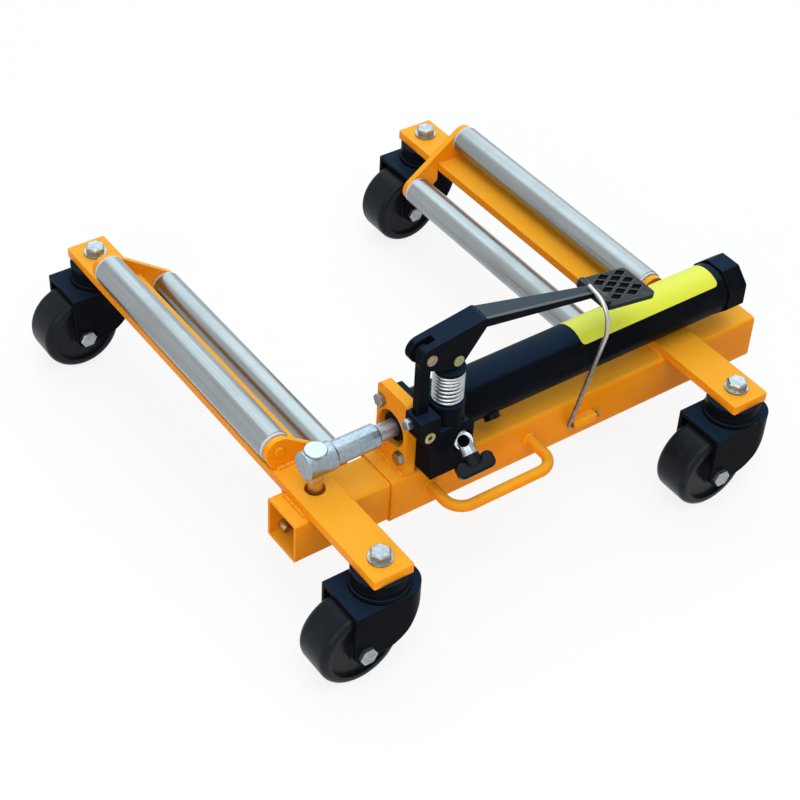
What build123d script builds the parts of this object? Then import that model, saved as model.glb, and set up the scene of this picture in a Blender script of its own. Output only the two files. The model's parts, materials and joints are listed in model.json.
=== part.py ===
from build123d import *
import os
from math import cos, pi, radians, sin, sqrt

# Hydraulic car mover: a wheel dolly whose sliding arm is pulled in by a foot-pumped ram, so that
# two pairs of rollers squeeze under a tyre and lift it.
# Frame: floor at Z 0, +X along the telescopic beam towards its closed side, +Y away from the pedal,
# origin below the middle of the dolly. Millimetres.

# Clearances
running_gap = 0.05
passing_gap = 0.3

# Casters
wheel_radius = 44.5
wheel_width = 44.0
wheel_rounding = 7.0
wheel_recess = 4.0
wheel_rim = 10.0
wheel_hub = 14.5
wheel_side_gap = 3.4
caster_trail = 32.4
fork_rise = 53.5
fork_wall = 4.0
fork_boss = 12.3
fork_nose = 40.0
fork_corner = 25.0
fork_lip = 14.0
cheek_radius = 42.0
cheek_along = 16.0
cheek_below = 20.0
race_radius = 28.5
race_flange = 30.5
race_flange_thick = 5.0
race_groove = 2.0
lower_race = 10.0
upper_race = 11.7
stem_radius = 6.0
stem_flats = 19.0
stem_head = 7.5
head_chamfer = 1.2
stem_nut = 8.0
washer_radius = 12.5
washer_thick = 2.5
axle_radius = 5.0
axle_flats = 17.0
axle_head = 5.9
axle_nut = 8.0
axle_tail = 2.6
sleeve_wall = 2.0

# Arm bars and their stems
bar_width = 45.0
bar_thick = 10.0
bar_length = 596.0
bar_corner = 2.0
stem_inset = 23.5
sliding_arm_x = -238.0

# Telescopic beam
outer_size = 54.0
outer_wall = 2.2
outer_corner = 5.0
outer_length = 481.0
outer_setback = 72.0
outer_overhang = 107.0
inner_wall = 3.0
inner_length = 430.0
inner_overhang = 38.0
beam_setback = 133.5

# Rollers and their plates
roller_radius = 16.85
roller_wall = 3.0
roller_end_play = 0.7
bush_flange = 3.0
bush_spigot = 18.0
flange_inset = 0.6
roller_axle = 6.0
axle_stub = 1.5
outer_roller_offset = 13.8
outer_roller_rise = 21.4
inner_roller_offset = 52.6
inner_roller_drop = 27.0
plate_thick = 7.0
plate_setback = 14.5
plate_to_stem = 57.5
tab_radius = 15.0
tab_foot_inset = 1.5

# Ram
ram_rise = 35.0
barrel_radius = 27.8
barrel_wall = 4.0
barrel_length = 352.0
spigot_length = 12.0
cap_length = 28.0
cap_flats = 58.0
cap_sides = 8
cap_groove = 2.5
cap_chamfer = 2.5
cap_rounding = 4.0
rod_radius = 9.0
rod_length = 333.0
piston_length = 22.0
knuckle_nose = 13.5
knuckle_length = 83.0
knuckle_eye = 14.75
knuckle_eye_length = 33.0
knuckle_shank = 12.5
knuckle_chamfer = 2.0
knuckle_flat = 12.6
pin_radius = 7.35
pin_head_radius = 11.2
pin_head = 3.5
pin_head_rounding = 0.9
bar_pin_hole = 10.5
gland_radius = 15.0
gland_length = 9.0

# Ram bracket
bracket_inset = 15.5
bracket_thick = 12.0
bracket_width = 50.0
bracket_height = 89.0
bracket_corner = 7.0
bracket_hole = 20.0
screw_radius = 4.0
screw_flats = 13.0
screw_head = 5.5
screw_reach = 12.0
screw_across = 17.0
screw_up = 25.0

# Pump block
block_length = 49.0
block_front_reach = 50.5
block_back_reach = 15.0
block_below = 35.0
column_above = 23.0
column_chamfer = 6.0
flange_thick = 14.0
flange_height = 66.0
flange_corner = 6.0
head_radius = 29.0
rod_bore = 10.5
pump_setout = 33.5
plunger_inset = 27.2
pump_boss_radius = 17.5
pump_boss_above = 46.0
lug_left_reach = 10.4
lug_right_reach = 12.0
lug_above = 43.0
lug_shoulder = 21.0
lug_heel = 7.0
link_pivot_above = 33.0
link_pin_radius = 4.0
link_pin_front = 11.0
plug_above = 22.7
plug_radius = 4.8
plug_depth = 8.0
plug_rim = 6.0
plug_rim_thick = 1.6
plug_socket = 5.0
relief_flats = 11.0
relief_head = 7.0
relief_chamfer = 1.2
relief_radius = 2.5
filler_along = 47.0
filler_radius = 8.5
filler_height = 5.0

# Release valve
release_offset = 9.8
release_below = 1.0
release_tilt = 37.0
release_boss_radius = 12.0
release_sink = 8.5
release_shank = 5.0
release_depth = 5.5
release_pocket = 10.7
collar_radius = 8.5
collar_length = 24.0
collar_eye = 6.0
collar_eye_along = 9.6
collar_eye_turn = 27.0
eye_ring = 9.3
eye_half = 4.5
eye_shoulder = 8.0
eye_shoulder_thick = 2.0
knob_hub = 8.5
knob_hub_length = 12.0
knob_span = 40.0
knob_thick = 12.0
knob_length = 20.0
knob_turn = 16.0
knob_rounding = 2.5
wing_width = 13.0
wing_length = 17.5
wing_web = 11.5

# Pump lever, link and plunger
fulcrum_above = 114.9
pin_reach = 31.6
pin_drop = 14.3
lever_pin_radius = 4.5
lever_rivet_radius = 5.8
lever_rivet = 1.6
head_width = 24.0
head_nose = 13.0
head_heel = 9.0
head_crest_reach = 60.5
head_crest_rise = 17.5
head_crest = 5.0
lever_slot = 8.6
slot_side = 9.5
slot_depth = 28.5
link_width = 12.5
link_side_gap = 1.0
link_thick = 8.0
link_eye = 8.0
forearm_reach = 61.0
forearm_rise = 16.7
forearm_root_width = 23.0
forearm_root = 13.0
forearm_tip_width = 13.0
forearm_tip = 9.0
forearm_tip_up = 4.6
forearm_rounding = 3.0
pad_reach = 200.5
pad_drop = 16.8
pad_tilt = 9.0
pad_length = 65.5
pad_width = 50.0
pad_thick = 5.0
pad_corner = 6.0
pad_lip = 8.0
pad_lip_rise = 4.0
pad_lip_corner = 2.6
pocket_mid = 31.7
pocket_side = -1.0
pocket_along = 10.9
pocket_across = 13.0
pocket_long = 0.86
pocket_short = 0.74
pocket_depth = 3.2
pocket_columns = 2
pocket_rows = 3
plunger_radius = 8.0
plunger_depth = 26.0
tongue_width = 16.0
tongue_thick = 8.0
pin_play_along = 0.9
pin_play_up = 0.4
retainer_below = 17.6
retainer_thick = 3.0

# Return spring on the plunger
spring_wire = 1.5
spring_mean = 14.3
spring_seat_gap = 0.1
close_pitch = 3.75
close_turns_top = 3
close_turns_bottom = 1
open_turns = 4
spring_samples = 960

# Carry handle, hook lug and wire hook
handle_radius = 6.0
handle_along = 46.5
handle_span = 125.0
handle_reach = 44.0
handle_above = 1.0
handle_bend = 20.0
lug_along = 225.0
lug_length = 29.0
lug_tube = 5.25
lug_below = 2.0
hook_wire = 2.35
hook_bend = 5.0
hook_side_gap = 3.65
hook_tail = 4.0
hook_head = 3.6
hook_head_thick = 3.0
hook_lean_out = 36.0
hook_lean_up = 150.0
hook_turn_out = 33.0
hook_turn_up = 171.0
hook_crown_out = 23.0
hook_crown_up = 182.5
hook_tip_out = 2.0
hook_tip_up = 186.5
hook_crown_bend = 20.0
hook_lean_bend = 30.0

# Places worked out from the sizes above
fork_half = wheel_width / 2 + wheel_side_gap + fork_wall
fork_inner = fork_half - fork_wall
fork_top = wheel_radius + fork_rise
fork_back = caster_trail + fork_boss
bar_bottom = fork_top + lower_race + passing_gap + upper_race
bar_top = bar_bottom + bar_thick
outer_left = sliding_arm_x + outer_setback
outer_right = outer_left + outer_length
fixed_arm_x = outer_right - outer_overhang
bar_front = -bar_length / 2
stem_y = bar_length / 2 - stem_inset
beam_y = bar_front + beam_setback
beam_z = bar_bottom - outer_size / 2
beam_front = beam_y - outer_size / 2
beam_bore = outer_size - 2 * outer_wall
inner_size = beam_bore - 2 * passing_gap
inner_corner = outer_corner - outer_wall + passing_gap
inner_left = sliding_arm_x - inner_overhang
front_plate_y = beam_y + outer_size / 2 + plate_setback
roller_front = front_plate_y + plate_thick + roller_end_play
rear_plate_y = stem_y - plate_to_stem
roller_length = rear_plate_y - roller_end_play - roller_front
roller_bore = roller_radius - roller_wall
ram_z = bar_top + ram_rise
bracket_left = outer_left + bracket_inset
bracket_front = beam_y - bracket_width / 2
block_left = bracket_left + bracket_thick
barrel_left = block_left + block_length
barrel_bore = barrel_radius - barrel_wall
barrel_right = barrel_left + barrel_length
knuckle_left = sliding_arm_x - knuckle_nose
knuckle_right = knuckle_left + knuckle_length
piston_left = knuckle_right + rod_length
block_front = beam_y - block_front_reach
pump_y = beam_y - pump_setout
plunger_x = block_left + plunger_inset
fulcrum_x = plunger_x - pin_reach
fulcrum_z = ram_z + fulcrum_above
plunger_pin_z = fulcrum_z - pin_drop
retainer_top = plunger_pin_z - retainer_below + retainer_thick
boss_top = ram_z + pump_boss_above
link_pivot_z = ram_z + link_pivot_above
release_x = plunger_x + release_offset
hook_y = beam_front - lug_tube
hook_z = beam_z - lug_below
lug_left = outer_left + lug_along
hook_x = lug_left - hook_side_gap - hook_wire

arms = {"sliding": (sliding_arm_x, 1), "fixed": (fixed_arm_x, -1)}
corners = {
    "front_left": (sliding_arm_x, -stem_y),
    "rear_left": (sliding_arm_x, stem_y),
    "front_right": (fixed_arm_x, -stem_y),
    "rear_right": (fixed_arm_x, stem_y),
}

os.makedirs("parts", exist_ok=True)


def keep(builder, name):
    """Label a finished piece and write its file."""
    builder.part.label = name
    export_step(builder.part, f"parts/{name}.step")


def level(x, y, z):
    """Plane facing up."""
    return Plane((x, y, z))


def front(x, y, z):
    """Plane facing the pedal side, with X to the right and Z up."""
    return Plane((x, y, z), x_dir=(1, 0, 0), z_dir=(0, -1, 0))


def side(x, y, z):
    """Plane facing +X, with Y to the right and Z up."""
    return Plane((x, y, z), x_dir=(0, 1, 0), z_dir=(1, 0, 0))


# Outer beam, a square tube that the fixed arm sits on
with BuildPart() as outer_beam:
    with BuildSketch(side(outer_left, beam_y, beam_z)):
        RectangleRounded(outer_size, outer_size, outer_corner)
        RectangleRounded(beam_bore, beam_bore, outer_corner - outer_wall, mode=Mode.SUBTRACT)
    extrude(amount=outer_length)
keep(outer_beam, "outer_beam")

# Inner beam, which slides in the outer one and carries the sliding arm
with BuildPart() as inner_beam:
    with BuildSketch(side(inner_left, beam_y, beam_z)):
        RectangleRounded(inner_size, inner_size, inner_corner)
        Rectangle(inner_size - 2 * inner_wall, inner_size - 2 * inner_wall, mode=Mode.SUBTRACT)
    extrude(amount=inner_length)
    with BuildSketch(level(sliding_arm_x, beam_y, beam_z)):
        Circle(pin_radius + running_gap)
    extrude(amount=inner_size, both=True, mode=Mode.SUBTRACT)
keep(inner_beam, "inner_beam")

# Packing plate that brings the sliding arm level with the fixed one
with BuildPart() as packing_plate:
    with BuildSketch(level(sliding_arm_x, beam_y, beam_z + inner_size / 2)):
        Rectangle(bar_width, inner_size)
        Circle(bar_pin_hole, mode=Mode.SUBTRACT)
    extrude(amount=bar_bottom - beam_z - inner_size / 2)
keep(packing_plate, "arm_packing_plate")

# Arm bars: flat bars with a stem hole near each end
for arm, (arm_x, _) in arms.items():
    with BuildPart() as arm_bar:
        with BuildSketch(level(arm_x, 0, bar_bottom)):
            RectangleRounded(bar_width, bar_length, bar_corner)
            with GridLocations(0, 2 * stem_y, 1, 2):
                Circle(stem_radius + running_gap, mode=Mode.SUBTRACT)
            if arm == "sliding":
                with Locations((0, beam_y)):
                    Circle(bar_pin_hole, mode=Mode.SUBTRACT)
        extrude(amount=bar_thick)
    keep(arm_bar, f"{arm}_arm_bar")

# Roller plates: a round tab above the bar for the outer roller and a drop arm to the inner one
for arm, (arm_x, inboard) in arms.items():
    outer_place = (-inboard * outer_roller_offset, outer_roller_rise)
    inner_place = (inboard * inner_roller_offset, -inner_roller_drop)
    for end, plate_y in (("front", front_plate_y), ("rear", rear_plate_y)):
        with BuildPart() as roller_plate:
            with BuildSketch(front(arm_x, plate_y, bar_top)):
                with Locations(outer_place, inner_place):
                    Circle(tab_radius)
                make_hull()
            extrude(amount=-plate_thick)
            with BuildSketch(front(arm_x, plate_y, bar_top)):
                with Locations(outer_place):
                    Circle(tab_radius)
                with Locations((0, tab_foot_inset / 2)):
                    Rectangle(bar_width - 2 * tab_foot_inset, tab_foot_inset)
                make_hull()
            extrude(amount=-plate_thick)
            with BuildSketch(front(arm_x, plate_y, bar_top)):
                with Locations((-inboard * bar_width / 2, -bar_length / 2)):
                    Rectangle(2 * bar_width, bar_length)
                with Locations(outer_place, inner_place):
                    Circle(roller_axle + running_gap)
            extrude(amount=-plate_thick, mode=Mode.SUBTRACT)
        keep(roller_plate, f"{arm}_{end}_plate")

    with BuildPart() as roller_axles:
        with BuildSketch(front(arm_x, front_plate_y - axle_stub, bar_top)):
            with Locations(outer_place, inner_place):
                Circle(roller_axle)
        extrude(amount=-(rear_plate_y - front_plate_y + plate_thick + 2 * axle_stub))
        chamfer(roller_axles.edges().filter_by(GeomType.CIRCLE), axle_stub / 2)
    keep(roller_axles, f"{arm}_roller_axles")

    for place, (roller_x, roller_z) in (("outer", outer_place), ("inner", inner_place)):
        with BuildPart() as roller_tube:
            with BuildSketch(front(arm_x + roller_x, roller_front + bush_flange, bar_top + roller_z)):
                Circle(roller_radius)
                Circle(roller_bore, mode=Mode.SUBTRACT)
            extrude(amount=-(roller_length - 2 * bush_flange))
        keep(roller_tube, f"{arm}_{place}_roller")

        with BuildPart() as roller_bushes:
            with BuildSketch(front(arm_x + roller_x, roller_front, bar_top + roller_z)):
                Circle(roller_radius - flange_inset)
            extrude(amount=-bush_flange)
            with BuildSketch(front(arm_x + roller_x, roller_front + bush_flange, bar_top + roller_z)):
                Circle(roller_bore - running_gap)
            extrude(amount=-bush_spigot)
            with BuildSketch(front(arm_x + roller_x, roller_front, bar_top + roller_z)):
                Circle(roller_axle + running_gap)
            extrude(amount=-(bush_flange + bush_spigot), mode=Mode.SUBTRACT)
            mirror(about=Plane.XZ.offset(-(roller_front + roller_length / 2)))
        keep(roller_bushes, f"{arm}_{place}_roller_bushes")

# Stem bolts with washers and nuts, and the upper swivel races, two of each on an arm
for arm, (arm_x, _) in arms.items():
    with BuildPart() as stem_bolts:
        with BuildSketch(level(arm_x, 0, bar_top)):
            with GridLocations(0, 2 * stem_y, 1, 2):
                Circle(washer_radius)
                Circle(stem_radius + running_gap, mode=Mode.SUBTRACT)
        extrude(amount=washer_thick)
        with BuildSketch(level(arm_x, 0, bar_top + washer_thick)):
            with GridLocations(0, 2 * stem_y, 1, 2):
                RegularPolygon(stem_flats / 2, 6, major_radius=False)
        extrude(amount=stem_head)
        chamfer(stem_bolts.edges().group_by(Axis.Z)[-1], head_chamfer)
        with BuildSketch(level(arm_x, 0, bar_top + washer_thick)):
            with GridLocations(0, 2 * stem_y, 1, 2):
                Circle(stem_radius)
        stem_foot = fork_top - fork_wall - passing_gap - stem_nut
        extrude(amount=-(bar_top + washer_thick - stem_foot))
        with BuildSketch(level(arm_x, 0, stem_foot)):
            with GridLocations(0, 2 * stem_y, 1, 2):
                RegularPolygon(stem_flats / 2, 6, major_radius=False)
                Circle(stem_radius + running_gap, mode=Mode.SUBTRACT)
        extrude(amount=stem_nut)
    keep(stem_bolts, f"{arm}_stem_bolts")

    with BuildPart() as upper_races:
        with BuildSketch(level(arm_x, 0, bar_bottom)):
            with GridLocations(0, 2 * stem_y, 1, 2):
                Circle(race_radius)
                Circle(stem_radius + running_gap, mode=Mode.SUBTRACT)
        extrude(amount=-upper_race)
        rims = upper_races.edges().filter_by(GeomType.CIRCLE).group_by(Axis.Z)[0]
        fillet(rims.filter_by(lambda rim: rim.radius > washer_radius), race_groove)
    keep(upper_races, f"{arm}_arm_races")

# Casters: fork with the lower race, wheel, and axle bolt with sleeve and nut
for corner, (stem_x, caster_y) in corners.items():
    axle_x = stem_x - caster_trail

    with BuildPart() as fork:
        with BuildSketch(level(stem_x, caster_y, fork_top)) as crown:
            with Locations(((fork_nose - fork_back) / 2, 0)):
                Rectangle(fork_nose + fork_back, 2 * fork_half)
            fillet(crown.vertices().group_by(Axis.X)[-1], fork_corner)
        extrude(amount=-(fork_rise + fork_boss))
        with BuildSketch(level(stem_x, caster_y, fork_top - fork_wall)) as hollow:
            with Locations(((fork_nose - fork_wall) / 2 - fork_back, 0)):
                Rectangle(fork_nose - fork_wall + 2 * fork_back, 2 * fork_inner)
            fillet(hollow.vertices().group_by(Axis.X)[-1], fork_corner - fork_wall)
        extrude(amount=-(fork_rise + fork_boss), mode=Mode.SUBTRACT)
        with BuildSketch(front(stem_x, caster_y, wheel_radius)):
            with Locations(((fork_nose - fork_back) / 2, fork_rise - fork_lip / 2)):
                Rectangle(fork_nose + fork_back, fork_lip)
            with Locations((-cheek_along, fork_rise - cheek_below)):
                Circle(cheek_radius)
            with Locations((-caster_trail, 0)):
                Circle(fork_boss)
            make_hull()
        extrude(amount=fork_half, both=True, mode=Mode.INTERSECT)
        with BuildSketch(level(stem_x, caster_y, fork_top)):
            Circle(race_flange)
        extrude(amount=race_flange_thick)
        fillet(fork.edges().group_by(Axis.Z)[-1], race_groove)
        with BuildSketch(level(stem_x, caster_y, fork_top)):
            Circle(race_radius)
        extrude(amount=lower_race)
        fillet(fork.edges().group_by(Axis.Z)[-1], race_groove)
        with BuildSketch(level(stem_x, caster_y, fork_top)):
            Circle(stem_radius + running_gap)
        extrude(amount=lower_race + fork_wall, both=True, mode=Mode.SUBTRACT)
        with BuildSketch(front(axle_x, caster_y, wheel_radius)):
            Circle(axle_radius + running_gap)
        extrude(amount=fork_half, both=True, mode=Mode.SUBTRACT)
    keep(fork, f"{corner}_caster_fork")

    with BuildPart() as wheel:
        with BuildSketch(front(axle_x, caster_y, wheel_radius)):
            Circle(wheel_radius)
        extrude(amount=wheel_width / 2, both=True)
        fillet(wheel.edges().filter_by(GeomType.CIRCLE), wheel_rounding)
        with BuildSketch(front(axle_x, caster_y + wheel_width / 2, wheel_radius)):
            Circle(wheel_radius - wheel_rim)
        extrude(amount=wheel_recess, mode=Mode.SUBTRACT)
        with BuildSketch(front(axle_x, caster_y - wheel_width / 2, wheel_radius)):
            Circle(wheel_radius - wheel_rim)
        extrude(amount=-wheel_recess, mode=Mode.SUBTRACT)
        with BuildSketch(front(axle_x, caster_y, wheel_radius)):
            Circle(wheel_hub)
        extrude(amount=fork_inner - passing_gap, both=True)
        with BuildSketch(front(axle_x, caster_y, wheel_radius)):
            Circle(axle_radius + sleeve_wall + 2 * running_gap)
        extrude(amount=fork_inner, both=True, mode=Mode.SUBTRACT)
    keep(wheel, f"{corner}_caster_wheel")

    with BuildPart() as caster_axle:
        with BuildSketch(front(axle_x, caster_y - fork_half, wheel_radius)):
            RegularPolygon(axle_flats / 2, 6, major_radius=False)
        extrude(amount=axle_head)
        chamfer(caster_axle.faces().sort_by(Axis.Y)[0].edges(), head_chamfer)
        with BuildSketch(front(axle_x, caster_y - fork_half, wheel_radius)):
            Circle(axle_radius)
        extrude(amount=-(2 * fork_half + axle_nut + axle_tail))
        with BuildSketch(front(axle_x, caster_y + fork_half, wheel_radius)):
            RegularPolygon(axle_flats / 2, 6, major_radius=False)
            Circle(axle_radius + running_gap, mode=Mode.SUBTRACT)
        extrude(amount=-axle_nut)
        with BuildSketch(front(axle_x, caster_y, wheel_radius)):
            Circle(axle_radius + sleeve_wall + running_gap)
            Circle(axle_radius + running_gap, mode=Mode.SUBTRACT)
        extrude(amount=fork_inner, both=True)
    keep(caster_axle, f"{corner}_caster_axle")

# Ram bracket, welded on the outer beam, and the screws that hold the pump block to it
with BuildPart() as ram_bracket:
    with BuildSketch(side(bracket_left, beam_y, bar_bottom + bracket_height / 2)) as bracket_face:
        Rectangle(bracket_width, bracket_height)
        fillet(bracket_face.vertices().group_by(Axis.Y)[-1], bracket_corner)
        with Locations((0, ram_z - bar_bottom - bracket_height / 2)):
            Circle(bracket_hole, mode=Mode.SUBTRACT)
            with Locations((screw_across, screw_up), (-screw_across, -screw_up)):
                Circle(screw_radius + running_gap, mode=Mode.SUBTRACT)
    extrude(amount=bracket_thick)
keep(ram_bracket, "ram_bracket")

with BuildPart() as bracket_screws:
    with BuildSketch(side(bracket_left, beam_y, ram_z)):
        with Locations((screw_across, screw_up), (-screw_across, -screw_up)):
            RegularPolygon(screw_flats / 2, 6, major_radius=False)
    extrude(amount=-screw_head)
    with BuildSketch(side(bracket_left, beam_y, ram_z)):
        with Locations((screw_across, screw_up), (-screw_across, -screw_up)):
            Circle(screw_radius)
    extrude(amount=bracket_thick + screw_reach - passing_gap)
keep(bracket_screws, "bracket_screws")

# Pump block: column with the pump cylinder, flange and head round the ram, lug for the link
release_axis = (0, -cos(radians(release_tilt)), -sin(radians(release_tilt)))
release_plane = Plane((release_x, block_front, ram_z - release_below), x_dir=(1, 0, 0), z_dir=release_axis)
release_seat = release_plane.offset(-release_sink)
link_pocket = link_width / 2 + link_side_gap
with BuildPart() as pump_block:
    with BuildSketch(level(block_left, block_front, ram_z - block_below)):
        column_depth = block_front_reach - block_back_reach
        Rectangle(block_length, column_depth, align=(Align.MIN, Align.MIN))
    extrude(amount=block_below + column_above)
    top_edges = pump_block.edges().filter_by(Axis.Y).group_by(Axis.Z)[-1]
    chamfer(top_edges.sort_by(Axis.X)[-1], column_chamfer)
    with BuildSketch(side(block_left, beam_y, ram_z)):
        RectangleRounded(bracket_width, flange_height, flange_corner)
    extrude(amount=flange_thick)
    with BuildSketch(side(block_left, beam_y, ram_z)):
        Circle(head_radius)
    extrude(amount=block_length)
    with BuildSketch(side(barrel_left, beam_y, ram_z)):
        Circle(barrel_bore - running_gap)
    extrude(amount=spigot_length)
    with BuildSketch(level(plunger_x, pump_y, ram_z)):
        Circle(pump_boss_radius)
    extrude(amount=pump_boss_above)
    with BuildSketch(front(fulcrum_x, block_front, ram_z)):
        with BuildLine():
            Polyline(
                (-lug_left_reach, lug_above),
                (lug_right_reach, lug_above),
                (lug_right_reach, lug_heel),
                (block_left - fulcrum_x, lug_heel),
                (-lug_left_reach, lug_shoulder),
                close=True,
            )
        make_face()
    extrude(amount=-(bracket_front - block_front))
    with BuildSketch(release_seat):
        Circle(release_boss_radius)
    extrude(amount=-release_boss_radius)
    # Holes: rod, plunger, link pocket and its pin, screws, plug, relief screw and release valve
    with BuildSketch(side(block_left, beam_y, ram_z)):
        Circle(rod_bore)
    extrude(amount=block_length + spigot_length, mode=Mode.SUBTRACT)
    with BuildSketch(side(block_left, beam_y, ram_z)):
        with Locations((screw_across, screw_up), (-screw_across, -screw_up)):
            Circle(screw_radius + running_gap)
    extrude(amount=screw_reach, mode=Mode.SUBTRACT)
    with BuildSketch(level(plunger_x, pump_y, boss_top)):
        Circle(plunger_radius + running_gap)
    extrude(amount=-(plunger_depth + running_gap), mode=Mode.SUBTRACT)
    with BuildSketch(level(fulcrum_x, pump_y, ram_z + lug_above)):
        Rectangle(2 * link_pocket, lever_slot)
    extrude(amount=-(lug_above - link_pivot_above + link_pocket), mode=Mode.SUBTRACT)
    with BuildSketch(front(fulcrum_x, pump_y - link_pin_front, link_pivot_z)):
        Circle(link_pin_radius + running_gap)
    extrude(amount=-(bracket_front - pump_y + link_pin_front), mode=Mode.SUBTRACT)
    with BuildSketch(front(fulcrum_x, block_front, ram_z + plug_above)):
        Circle(plug_radius + running_gap)
    extrude(amount=-plug_depth, mode=Mode.SUBTRACT)
    with BuildSketch(side(fulcrum_x - lug_left_reach, pump_y, link_pivot_z)):
        Circle(relief_radius + running_gap)
    extrude(amount=lug_left_reach - link_pocket, mode=Mode.SUBTRACT)
    with BuildSketch(release_seat):
        Circle(release_pocket)
    extrude(amount=collar_length, mode=Mode.SUBTRACT)
    with BuildSketch(release_seat):
        Circle(release_shank + running_gap)
    extrude(amount=-release_depth, mode=Mode.SUBTRACT)
keep(pump_block, "pump_block")

with BuildPart() as link_pin:
    with BuildSketch(front(fulcrum_x, pump_y - link_pin_front, link_pivot_z)):
        Circle(link_pin_radius)
    extrude(amount=-(bracket_front - pump_y + link_pin_front))
keep(link_pin, "link_pin")

with BuildPart() as socket_plug:
    with BuildSketch(front(fulcrum_x, block_front, ram_z + plug_above)):
        Circle(plug_rim)
    extrude(amount=plug_rim_thick)
    with BuildSketch(front(fulcrum_x, block_front, ram_z + plug_above)):
        Circle(plug_radius)
    extrude(amount=-(plug_depth - passing_gap))
    with BuildSketch(front(fulcrum_x, block_front - plug_rim_thick, ram_z + plug_above)):
        RegularPolygon(plug_socket / 2, 6, major_radius=False)
    extrude(amount=-plug_depth / 2, mode=Mode.SUBTRACT)
keep(socket_plug, "socket_plug")

with BuildPart() as relief_screw:
    with BuildSketch(side(fulcrum_x - lug_left_reach, pump_y, link_pivot_z)):
        RegularPolygon(relief_flats / 2, 6, major_radius=False)
    extrude(amount=-relief_head)
    chamfer(relief_screw.faces().sort_by(Axis.X)[0].edges(), relief_chamfer)
    with BuildSketch(side(fulcrum_x - lug_left_reach, pump_y, link_pivot_z)):
        Circle(relief_radius)
    extrude(amount=lug_left_reach - link_pocket)
keep(relief_screw, "relief_screw")

# Release valve: a spindle with an eye ring, sunk in the slanted pocket, and its wing knob
eye_up = release_seat.y_dir * cos(radians(collar_eye_turn))
eye_across = release_seat.x_dir * sin(radians(collar_eye_turn))
eye_plane = Plane(release_seat.offset(collar_eye_along).origin, z_dir=eye_up - eye_across)
with BuildPart() as release_spindle:
    with BuildSketch(release_seat.offset(-(release_depth - passing_gap))):
        Circle(release_shank)
    extrude(amount=release_depth - passing_gap)
    with BuildSketch(release_seat):
        Circle(eye_shoulder)
    extrude(amount=eye_shoulder_thick)
    with BuildSketch(eye_plane):
        Circle(eye_ring)
    extrude(amount=eye_half, both=True)
    with BuildSketch(release_seat.offset(collar_eye_along)):
        Circle(collar_radius)
    extrude(amount=collar_length - collar_eye_along)
    with BuildSketch(eye_plane):
        Circle(collar_eye)
    extrude(amount=collar_radius, both=True, mode=Mode.SUBTRACT)
    with BuildSketch(release_seat.offset(collar_length)):
        Circle(release_shank)
    extrude(amount=knob_hub_length)
keep(release_spindle, "release_spindle")

knob_plane = release_seat.offset(collar_length)
wing_side = knob_plane.x_dir * cos(radians(knob_turn)) + knob_plane.y_dir * sin(radians(knob_turn))
wing_plane = Plane(knob_plane.origin, x_dir=wing_side, z_dir=wing_side.cross(knob_plane.z_dir))
wing_out = (knob_span - wing_width) / 2
with BuildPart() as release_knob:
    with BuildSketch(wing_plane):
        with Locations((wing_out, knob_length - wing_length / 2), (-wing_out, knob_length - wing_length / 2)):
            SlotOverall(wing_length, wing_width, rotation=90)
        with Locations((0, knob_length - wing_web / 2)):
            Rectangle(2 * wing_out, wing_web)
    extrude(amount=knob_thick / 2, both=True)
    wing_faces = release_knob.faces().sort_by(Axis(wing_plane.origin, wing_plane.z_dir))
    fillet(wing_faces[0].edges() + wing_faces[-1].edges(), knob_rounding)
    with BuildSketch(knob_plane):
        Circle(knob_hub)
    extrude(amount=knob_hub_length)
    with BuildSketch(knob_plane):
        Circle(release_shank + running_gap)
    extrude(amount=knob_hub_length + running_gap, mode=Mode.SUBTRACT)
keep(release_knob, "release_knob")

# Ram: barrel, faceted end cap, filler plug, gland, rod, piston
with BuildPart() as ram_barrel:
    with BuildSketch(side(barrel_left, beam_y, ram_z)):
        Circle(barrel_radius)
        Circle(barrel_bore, mode=Mode.SUBTRACT)
    extrude(amount=barrel_length)
keep(ram_barrel, "ram_barrel")

with BuildPart() as end_cap:
    with BuildSketch(side(barrel_right, beam_y, ram_z)):
        Circle(barrel_radius - cap_groove)
    extrude(amount=cap_groove)
    with BuildSketch(side(barrel_right + cap_groove, beam_y, ram_z)):
        RegularPolygon(cap_flats / 2, cap_sides, major_radius=False, rotation=180 / cap_sides)
    extrude(amount=cap_length - cap_groove)
    fillet(end_cap.edges().filter_by(Axis.X), cap_rounding)
    chamfer(end_cap.faces().sort_by(Axis.X)[-1].edges(), cap_chamfer)
    with BuildSketch(side(barrel_right, beam_y, ram_z)):
        Circle(barrel_bore - running_gap)
    extrude(amount=-spigot_length)
keep(end_cap, "barrel_end_cap")

filler_plane = Plane((barrel_left + filler_along, beam_y, ram_z), x_dir=(1, 0, 0), z_dir=(0, -1, -1))
with BuildPart() as filler_plug:
    with BuildSketch(filler_plane):
        Circle(filler_radius)
    extrude(amount=barrel_radius + filler_height)
    with BuildSketch(side(barrel_left, beam_y, ram_z)):
        Circle(barrel_radius + running_gap)
    extrude(amount=barrel_length, mode=Mode.SUBTRACT)
keep(filler_plug, "filler_plug")

with BuildPart() as rod_gland:
    with BuildSketch(side(block_left, beam_y, ram_z)):
        Circle(gland_radius)
        Circle(rod_radius + running_gap, mode=Mode.SUBTRACT)
    extrude(amount=-gland_length)
keep(rod_gland, "rod_gland")

with BuildPart() as ram_rod:
    with BuildSketch(side(knuckle_right, beam_y, ram_z)):
        Circle(rod_radius)
    extrude(amount=rod_length)
keep(ram_rod, "ram_rod")

with BuildPart() as ram_piston:
    with BuildSketch(side(piston_left, beam_y, ram_z)):
        Circle(barrel_bore - running_gap)
    extrude(amount=piston_length)
keep(ram_piston, "ram_piston")

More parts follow.
